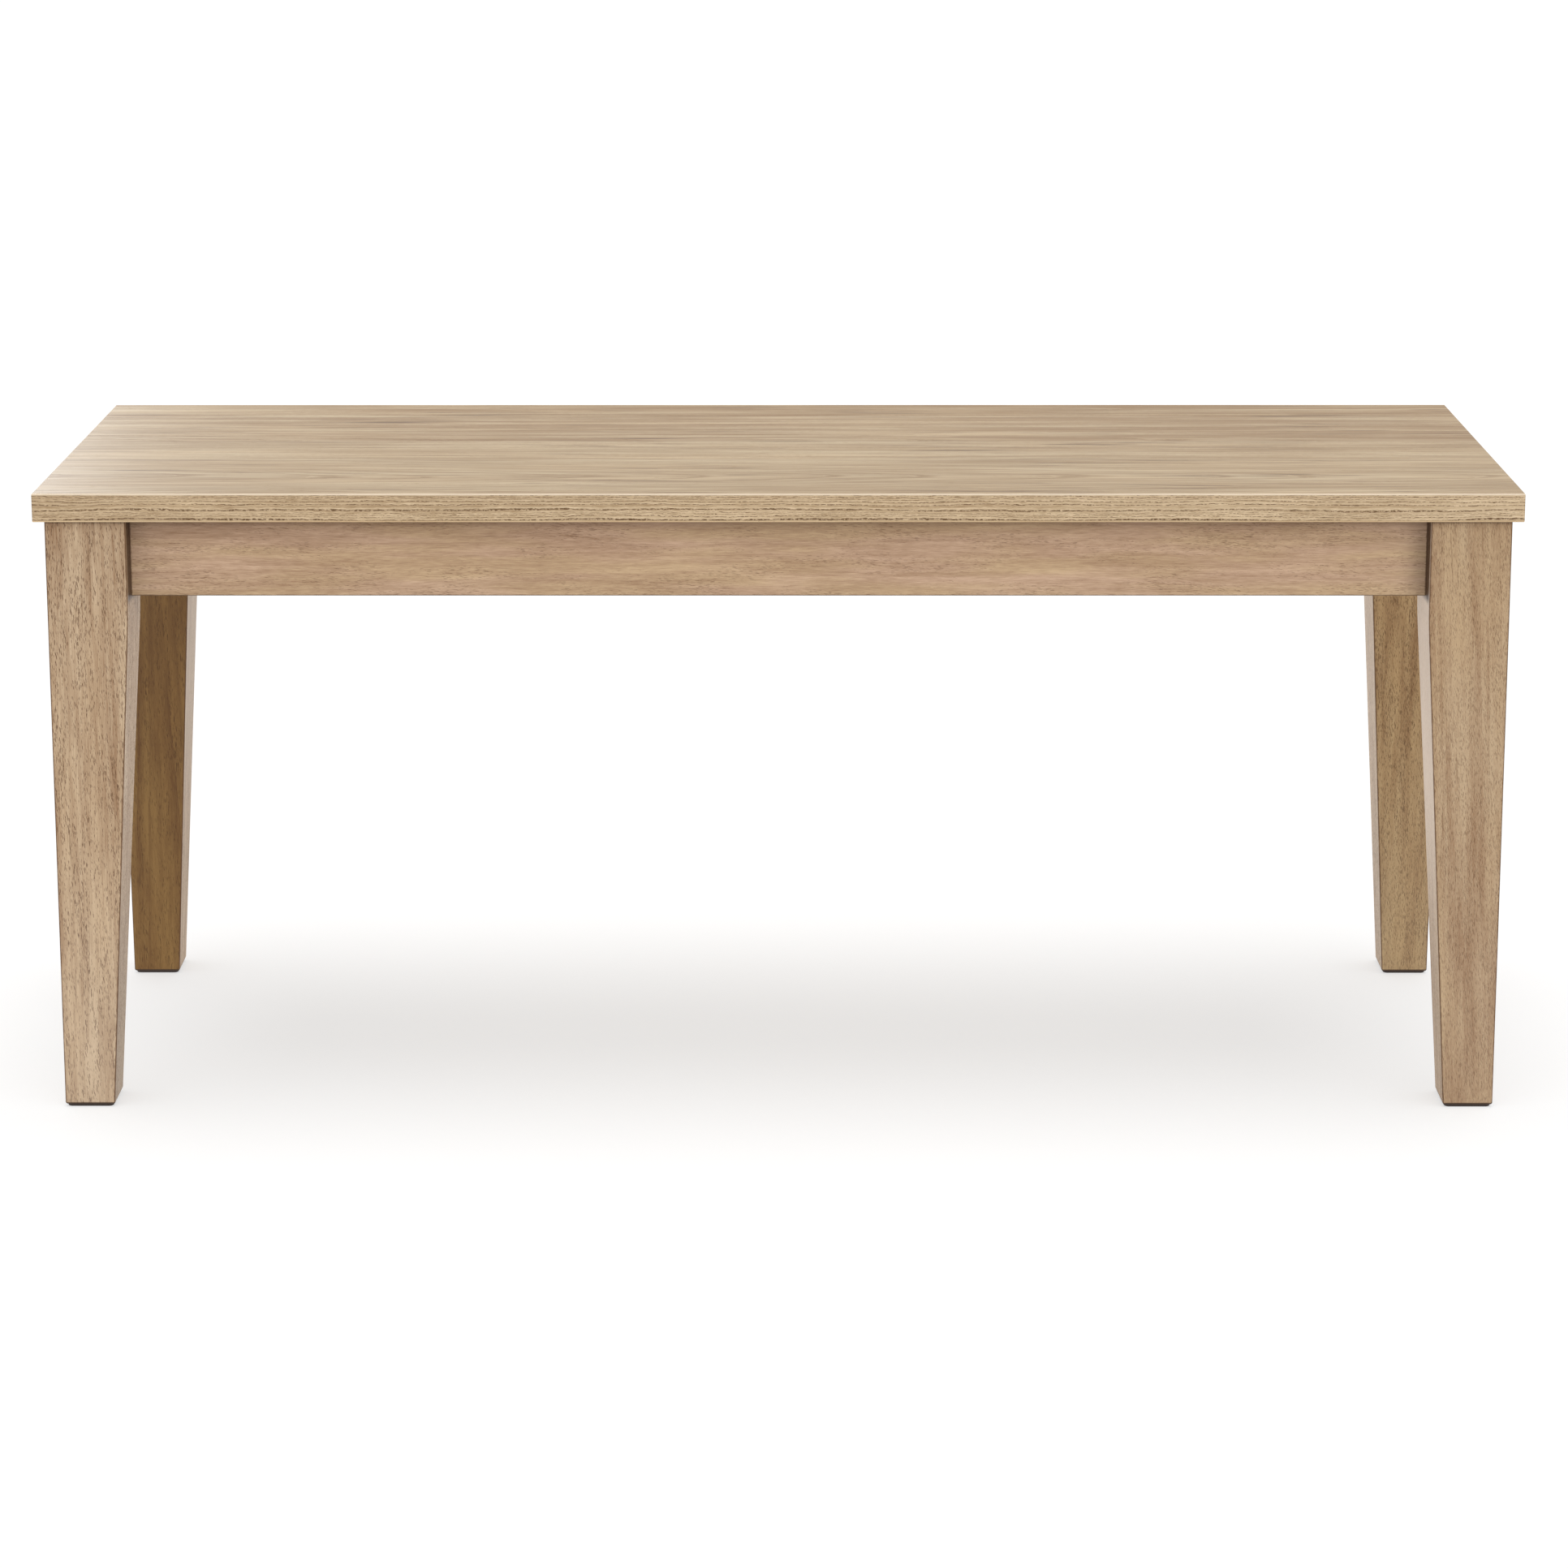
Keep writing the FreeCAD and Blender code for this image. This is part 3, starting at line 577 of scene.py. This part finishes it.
HIDDEN = dict(
    BASE, light=(206, 180, 142), warm=(206, 184, 148), dark=(174, 142, 102), streaked=(140, 108, 74),
    pores=(110, 82, 54), pith=(-40.0, -60.0), ring=4.5, late=0.42, shown=0.7, streak=1.0, fibre=0.7,
    pore=0.25, pore_long=9.0, pore_wide=1.2, rough=0.62, tooth=0.5,
)
BACKING = dict(
    HIDDEN, ring=16.0, late=0.12, shown=0.2, wave=16.0, cloud=1.2, streak=1.3, streak_long=260.0,
    streak_wide=14.0, fibre=0.6, line_wide=8.0,
)
LEAVES = {
    "front": dict(
        VENEER, pith=(2.0, -36.0), ring=9.0, taper=0.06, wave=15.0, shown=0.85, early=-1.5, dash=0.2,
        streak=1.5, cloud=1.0,
    ),
    "mid_front": dict(VENEER, tone=0.5, fade=0.06),
    "mid_back": dict(
        VENEER, pith=(-90.0, -60.0), taper=0.03, tone=0.56, fade=0.1, dark=(133, 107, 75),
        knots=((506.0, -80.0, 4.0), (200.0, -52.0, 3.0)),
    ),
    "back": dict(
        VENEER, pith=(350.0, -60.0), tone=0.62, fade=0.16, dark=(130, 103, 69),
        knots=((436.0, 12.0, 3.0),),
    ),
}
# Each leg's look, with the strengths and colours of the painted light and shade laid on it
LEGS = {
    "front_left": dict(
        LEG, light=(195, 171, 141), warm=(192, 166, 134), fade=0.42, low_shade=0.34, floor_bounce=0.14, fibre=1.5,
        pore=0.55, pore_dark=0.88, pore_long=5.6, pore_wide=0.9, patch_low=0.7, rows=0.15,
    ),
    "front_right": dict(
        LEG, light=(181, 156, 125), warm=(179, 152, 118), tone=0.38, fade=-0.12, inner_face_light=0.7, floor_bounce=0.07,
        slant=0.045, cloud=2.0, fibre=1.6, fibre_long=9.0, pore=0.54, pore_dark=0.52, pore_long=4.2,
        pore_wide=0.8, patch_low=0.8, rows=0.05,
    ),
    "back_left": dict(
        LEG, shaded=(178, 156, 108), fade=0.1, inner_face_light=0.4, pith=(0.0, -50.0), ring=14.0, taper=0.07,
        late=0.4, pore_wide=0.8, patch_low=0.6,
    ),
    "back_right": dict(
        LEG, shaded=(229, 222, 200), fade=0.15, inner_face_light=0.33, floor_bounce=0.16, fibre_long=10.0, pore=0.60,
        pore_dark=0.75, pore_long=4.2, pore_wide=0.8, patch_low=0.75, rows=0.1,
    ),
}


# --- painting the CAD nodes ---

def wood(node, grain, look, seed, edge=None):
    """The material of a wooden node. edge tells where its arrises are."""
    board = Board(node, grain, look, seed)
    board.growth_rings()
    colour = board.open_pores(board.lines(board.ground()))
    for knot in look["knots"]:
        colour = board.knot_heart(colour, *knot)
    # Then come a leg's painted light and shade, the dark arris lines with their painted shade, the painted
    # shade under the top, the painted highlight on the rim and the seams with their painted highlight.
    if isinstance(edge, LegEdge):
        colour = board.painted_light_on_leg(colour, edge)
    if edge is not None:
        colour = board.glaze_and_shade(colour, edge)
    if look["shade"]:
        colour = board.painted_shade_under_top(colour)
    if look["rim_highlight"]:
        colour = board.painted_rim_highlight(colour)
    if look["seam"]:
        colour = board.seams(colour)
    return board.lacquered(colour)


def metal(name, colour, rough):
    """Plated steel with fine scuffs."""
    g = Graph(name)
    scuff = g.noise(g.coordinates(900.0), 4.0, 0.6)
    tint = g.blend(scuff, srgb(*colour), srgb(*[c * 0.8 for c in colour]))
    roughness = g.math("MULTIPLY_ADD", scuff, 0.25, rough - 0.12)
    return g.surface(tint, roughness, scuff, 0.00005, Metallic=1.0)


def plastic(name, colour):
    """Moulded dark plastic with a fine texture."""
    g = Graph(name)
    grain = g.noise(g.coordinates(1400.0), 3.0, 0.6)
    tint = g.blend(grain, srgb(*colour), srgb(*[c * 1.5 for c in colour]))
    return g.surface(tint, g.math("MULTIPLY_ADD", grain, 0.2, 0.45), grain, 0.00008)


def paint(node, material):
    """Gives a CAD node a material in every slot."""
    data = nodes[node].data
    if not data.materials:
        data.materials.append(material)
    for i in range(len(data.materials)):
        data.materials[i] = material


for i, (name, look) in enumerate(LEAVES.items()):
    node = "face_veneer_" + name
    paint(node, wood(node, "x", look, 3 + 2 * i))
for i, (name, grain) in enumerate(WALLS.items()):
    node = "edge_band_" + name
    paint(node, wood(node, grain, BAND, 11 + i, BoxEdge(node, bottom_only=True)))
paint("backing_veneer", wood("backing_veneer", "x", BACKING, 17))
paint("top_core", wood("top_core", "x", HIDDEN, 18))
for i, (name, grain) in enumerate(WALLS.items()):
    node = "apron_" + name
    paint(node, wood(node, grain, APRON, 21 + i, BoxEdge(node)))
for i, (name, sides) in enumerate(CORNERS.items()):
    node = "leg_" + name
    paint(node, wood(node, "z", LEGS[name], 31 + i, LegEdge(*sides, LEGS[name]["low_shade"])))
    node = "corner_block_" + name
    paint(node, wood(node, "z", HIDDEN, 41 + i))
for i, name in enumerate(("left", "right")):
    node = "cross_brace_" + name
    paint(node, wood(node, "y", HIDDEN, 51 + i))

zinc = metal("bright_zinc", (190, 192, 190), 0.34)
brassy = metal("yellow_zinc", (190, 170, 120), 0.36)
for node in ("hanger_washers", "hanger_nuts"):
    paint(node, zinc)
paint("glide_nails", brassy)
brown = plastic("glide_brown", (34, 24, 18))
for name in CORNERS:
    paint("foot_glide_" + name, brown)


# --- threaded and fluted hardware, in millimetres ---
# Places are given for the right back corner and mirrored to the other three

UNDERSIDE_Z = 745.0
LEG_INNER_X, LEG_INNER_Y = 790.0, 205.0
APRON_MID_X, APRON_MID_Y = 844.0, 259.0
APRON_IN_X, APRON_IN_Y = 830.0, 245.0
CHAMFER_X, CHAMFER_Y = 800.0, 215.0
BRACE_X = 280.0
BLOCK_MIDDLE = 23.0

BOLT_END = 50.0
BOLT_DROPS = (18.0, 52.0)
SCREW_BACK = 25.0
SCREW_GRIP = 22.0
BLOCK_SCREW_DROPS = (12.0, 58.0)
TOP_SCREW_SPREAD = 25.0
BRACE_SCREW_Y = 150.0
APRON_DOWEL_DROPS = (25.0, 75.0)
APRON_DOWEL_LONG, APRON_DOWEL_RADIUS = 50.0, 5.0
BRACE_DOWEL_DROP, BRACE_DOWEL_SPREAD = 11.0, 17.0
BRACE_DOWEL_LONG, BRACE_DOWEL_RADIUS, BRACE_DOWEL_SUNK = 36.0, 4.0, 20.0
FLUTE_DEEP = 0.35
DOWEL_CHAMFER = 1.0

ROWS_PER_TURN = 4
SMOOTH_BELOW = math.radians(40.0)


def corner_point(inward, along, z):
    """A point on the corner's diagonal, inward from the leg's chamfer and moved along to the back apron."""
    root = math.sqrt(2.0)
    return Vector((CHAMFER_X - (inward + along) / root, CHAMFER_Y - (inward - along) / root, z))


def at_corners(places):
    """The same starts and directions at all four corners."""
    found = []
    for sx, sy in CORNERS.values():
        flip = Vector((sx, sy, 1.0))
        found += [(start * flip, Vector(direction) * flip) for start, direction in places]
    return found


def ring(height, radius, around):
    return height, [radius] * around


def thread(start, end, pitch, core, crest, around, sharp=1.0, tip=0.0):
    """Rings of a right-handed thread, which may taper to a point over a length of tip."""
    rows = []
    count = round((end - start) / pitch * ROWS_PER_TURN)
    for k in range(count + 1):
        z = start + (end - start) * k / count
        rise = min(1.0, (z - start) / pitch)
        cone = min(1.0, (end - z) / tip + 0.12) if tip else 1.0
        radii = []
        for i in range(around):
            turn = (z / pitch - i / around) % 1.0
            ridge = max(0.0, 1.0 - sharp * abs(2.0 * turn - 1.0))
            radii.append((core + (crest - core) * rise * ridge) * cone)
        rows.append((z, radii))
    return rows


def stacked(rows, start, direction, first):
    """Points and faces of one closed stack of rings. first is the number of its first point."""
    around = len(rows[0][1])
    turn = Vector(direction).to_track_quat("Z", "Y")
    points = [start + turn @ Vector((0.0, 0.0, rows[0][0]))]
    for height, radii in rows:
        for i, radius in enumerate(radii):
            angle = 2.0 * math.pi * i / around
            place = Vector((radius * math.cos(angle), radius * math.sin(angle), height))
            points.append(start + turn @ place)
    points.append(start + turn @ Vector((0.0, 0.0, rows[-1][0])))
    last = first + len(points) - 1
    faces = []
    for i in range(around):
        j = (i + 1) % around
        faces.append((first, first + 1 + j, first + 1 + i))
        faces.append((last, last - around + i, last - around + j))
        for k in range(len(rows) - 1):
            a = first + 1 + k * around
            faces.append((a + i, a + j, a + around + j, a + around + i))
    return points, faces


def turned(name, node, rows, places, material):
    """Equal solids, each a stack of rings along its direction, that stand for a CAD node."""
    points, faces = [], []
    for start, direction in places:
        more_points, more_faces = stacked(rows, start, direction, len(points))
        points += more_points
        faces += more_faces
    mesh = bpy.data.meshes.new(name)
    mesh.from_pydata([point / MM for point in points], [], faces)
    mesh.materials.append(material)
    mesh.shade_smooth()
    mesh.set_sharp_from_angle(angle=SMOOTH_BELOW)
    piece = linked(name, mesh)
    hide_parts(node)
    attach(piece, "root")


def hanger_bolts():
    """A machine thread under the nut and a coarse wood thread in the leg."""
    around = 16
    rows = [ring(0.0, 2.9, around), ring(0.9, 3.7, around)]
    rows += thread(1.1, 46.0, 1.25, 3.4, 4.0, around)
    rows += [ring(46.2, 3.8, around), ring(52.0, 3.8, around)]
    rows += thread(52.2, 100.0, 3.4, 2.9, 4.0, around, sharp=1.6, tip=9.0)
    places = [(corner_point(BOLT_END, 0.0, UNDERSIDE_Z - drop), (1, 1, 0)) for drop in BOLT_DROPS]
    turned("threaded_hanger_bolts", "hanger_bolts", rows, at_corners(places), zinc)


def wood_screws():
    """Countersunk screws with a cross recess, a plain neck and a coarse thread."""
    around = 24
    cross = [2.1 if i % 6 in (0, 1, 5) else 0.95 for i in range(around)]
    rows = [(1.9, [0.4 * r for r in cross]), (0.0, cross)]
    outline = ((0.0, 4.3), (0.1, 4.4), (0.4, 4.4), (2.6, 1.9), (3.2, 1.65), (14.8, 1.65))
    rows += [ring(z, radius, around) for z, radius in outline]
    rows += thread(15.0, 45.0, 2.2, 1.4, 2.25, around, sharp=1.6, tip=6.0)
    middle = corner_point(BLOCK_MIDDLE, 0.0, 0.0)
    reach = middle.x + middle.y
    heads = []
    for drop in BLOCK_SCREW_DROPS:
        z = UNDERSIDE_Z - drop
        heads.append((Vector((reach - APRON_IN_Y, APRON_IN_Y - SCREW_BACK, z)), (0, 1, 0)))
        heads.append((Vector((APRON_IN_X - SCREW_BACK, reach - APRON_IN_X, z)), (1, 0, 0)))
    turned("recessed_block_screws", "corner_block_screws", rows, at_corners(heads), brassy)
    z = UNDERSIDE_Z - SCREW_GRIP
    heads = [
        (corner_point(BLOCK_MIDDLE, -TOP_SCREW_SPREAD, z), (0, 0, 1)),
        (corner_point(BLOCK_MIDDLE, TOP_SCREW_SPREAD, z), (0, 0, 1)),
        (Vector((BRACE_X, BRACE_SCREW_Y, z)), (0, 0, 1)),
    ]
    turned("recessed_top_screws", "top_screws", rows, at_corners(heads), brassy)


def dowels(name, node, radius, length, places):
    """Dowels with flutes along them and chamfered ends."""
    around = 32
    end = radius - DOWEL_CHAMFER
    fluted = [radius - (FLUTE_DEEP if i % 4 == 2 else 0.0) for i in range(around)]
    rows = [ring(0.0, end, around), (DOWEL_CHAMFER, fluted)]
    rows += [(length - DOWEL_CHAMFER, fluted), ring(length, end, around)]
    turned(name, node, rows, at_corners(places), wood(node, "x", HIDDEN, 61))


def all_dowels():
    """The dowels of the apron joints and of the cross braces."""
    half = APRON_DOWEL_LONG / 2
    places = []
    for drop in APRON_DOWEL_DROPS:
        z = UNDERSIDE_Z - drop
        places.append((Vector((LEG_INNER_X - half, APRON_MID_Y, z)), (1, 0, 0)))
        places.append((Vector((APRON_MID_X, LEG_INNER_Y - half, z)), (0, 1, 0)))
    dowels("fluted_apron_dowels", "apron_dowels", APRON_DOWEL_RADIUS, APRON_DOWEL_LONG, places)
    z = UNDERSIDE_Z - BRACE_DOWEL_DROP
    y = APRON_IN_Y - BRACE_DOWEL_SUNK
    places = []
    for side in (-BRACE_DOWEL_SPREAD, BRACE_DOWEL_SPREAD):
        places.append((Vector((BRACE_X + side, y, z)), (0, 1, 0)))
    dowels("fluted_brace_dowels", "brace_dowels", BRACE_DOWEL_RADIUS, BRACE_DOWEL_LONG, places)


hanger_bolts()
wood_screws()
all_dowels()


# --- studio ---

WHITE = (1.0, 1.0, 1.0, 1.0)
SKY_SEEN, SKY_LIGHT = 1.02, 0.45  # the sky's strength as it is seen, and as it lights matt surfaces
LAMP_AWAY = 4.0
WINDOW_PLACE, WINDOW_AIM = Vector((-2.0, 2.6, 1.40)), Vector((-0.9, -0.25, 0.78))
CAMERA_PLACE = (0.0240, -5.1666, 1.7245)
CAMERA_PAN, CAMERA_TILT, CAMERA_ROLL = 0.00344, 0.19991, -0.00071
CAMERA_SENSOR, CAMERA_LENS = 36.0, 94.2232919
CAMERA_SHIFT_Y = -0.16511387


def make_floor():
    """A wide sheet of pale paper, which also glows so that it stays even."""
    bpy.ops.mesh.primitive_plane_add(size=60.0, location=(0, 0, 0))
    sheet = bpy.context.object
    sheet.name = "floor"
    g = Graph("floor_paper")
    mottle = g.noise(g.coordinates(30.0), 2.0, 0.5)
    tint = g.blend(mottle, (0.410, 0.410, 0.410, 1.0), (0.400, 0.400, 0.400, 1.0))
    paper = g.surface(tint, 0.95, Specular_IOR_Level=0.0, Emission_Color=WHITE, Emission_Strength=0.62)
    sheet.data.materials.append(paper)
    return sheet


def make_world():
    """White all round."""
    world = bpy.data.worlds.new("studio")
    bpy.context.scene.world = world
    world.use_nodes = True
    tree = world.node_tree
    tree.nodes.clear()
    sky = tree.nodes.new("ShaderNodeBackground")
    sky.inputs["Color"].default_value = WHITE
    path = tree.nodes.new("ShaderNodeLightPath")
    strength = tree.nodes.new("ShaderNodeMapRange")
    strength.inputs["To Min"].default_value = SKY_SEEN
    strength.inputs["To Max"].default_value = SKY_LIGHT
    tree.links.new(path.outputs["Is Diffuse Ray"], strength.inputs["Value"])
    tree.links.new(strength.outputs["Result"], sky.inputs["Strength"])
    output = tree.nodes.new("ShaderNodeOutputWorld")
    tree.links.new(sky.outputs[0], output.inputs[0])


def keep_off(lamp, thing):
    """The lamp does not light the thing."""
    unlit = bpy.data.collections.new(lamp.name + "_skips")
    unlit.objects.link(thing)
    unlit.collection_objects[0].light_linking.link_state = "EXCLUDE"
    lamp.light_linking.receiver_collection = unlit


def make_lamp(name, azimuth, elevation, spread, strength, skip=None):
    """A broad distant softbox. Angles are in degrees, azimuth turning from the front towards the right."""
    data = bpy.data.lights.new(name, "SUN")
    data.angle = math.radians(spread)
    data.energy = strength * math.pi
    lamp = linked(name, data)
    a, e = math.radians(azimuth), math.radians(elevation)
    towards = Vector((math.sin(a) * math.cos(e), -math.cos(a) * math.cos(e), math.sin(e)))
    lamp.location = towards * LAMP_AWAY
    lamp.visible_glossy = skip is None
    lamp.rotation_euler = towards.to_track_quat("Z", "Y").to_euler()
    if skip is not None:
        keep_off(lamp, skip)


def make_window(skip):
    """A soft window low behind the left end, for the sheen on that end of the top."""
    data = bpy.data.lights.new("window", "AREA")
    data.shape = "RECTANGLE"
    data.size, data.size_y = 1.2, 0.8
    data.energy = 27.0
    data.color = (0.89, 0.94, 1.0)
    lamp = linked("window", data)
    lamp.location = WINDOW_PLACE
    lamp.rotation_euler = (WINDOW_AIM - WINDOW_PLACE).to_track_quat("-Z", "Y").to_euler()
    lamp.visible_camera = False
    keep_off(lamp, skip)


def make_camera():
    """A long lens, tilted down a little and shifted."""
    data = bpy.data.cameras.new("camera")
    data.sensor_width = CAMERA_SENSOR
    data.lens = CAMERA_LENS
    data.shift_y = CAMERA_SHIFT_Y
    data.clip_end = 200.0
    camera = linked("camera", data)
    turn = Matrix.Rotation(CAMERA_PAN, 4, "Z") @ Matrix.Rotation(math.pi / 2 - CAMERA_TILT, 4, "X")
    turn = turn @ Matrix.Rotation(CAMERA_ROLL, 4, "Z")
    camera.matrix_world = Matrix.Translation(CAMERA_PLACE) @ turn
    bpy.context.scene.camera = camera


floor = make_floor()
make_world()
make_lamp("overhead", 0.0, 90.0, 42.0, 0.62)
make_lamp("key", 38.0, 30.0, 34.0, 0.42, skip=floor)
make_lamp("fill", -55.0, 25.0, 50.0, 0.10, skip=floor)
make_lamp("side", -82.0, 8.0, 40.0, 0.16, skip=floor)
make_window(floor)
make_camera()
bpy.context.scene.view_settings.view_transform = "Standard"
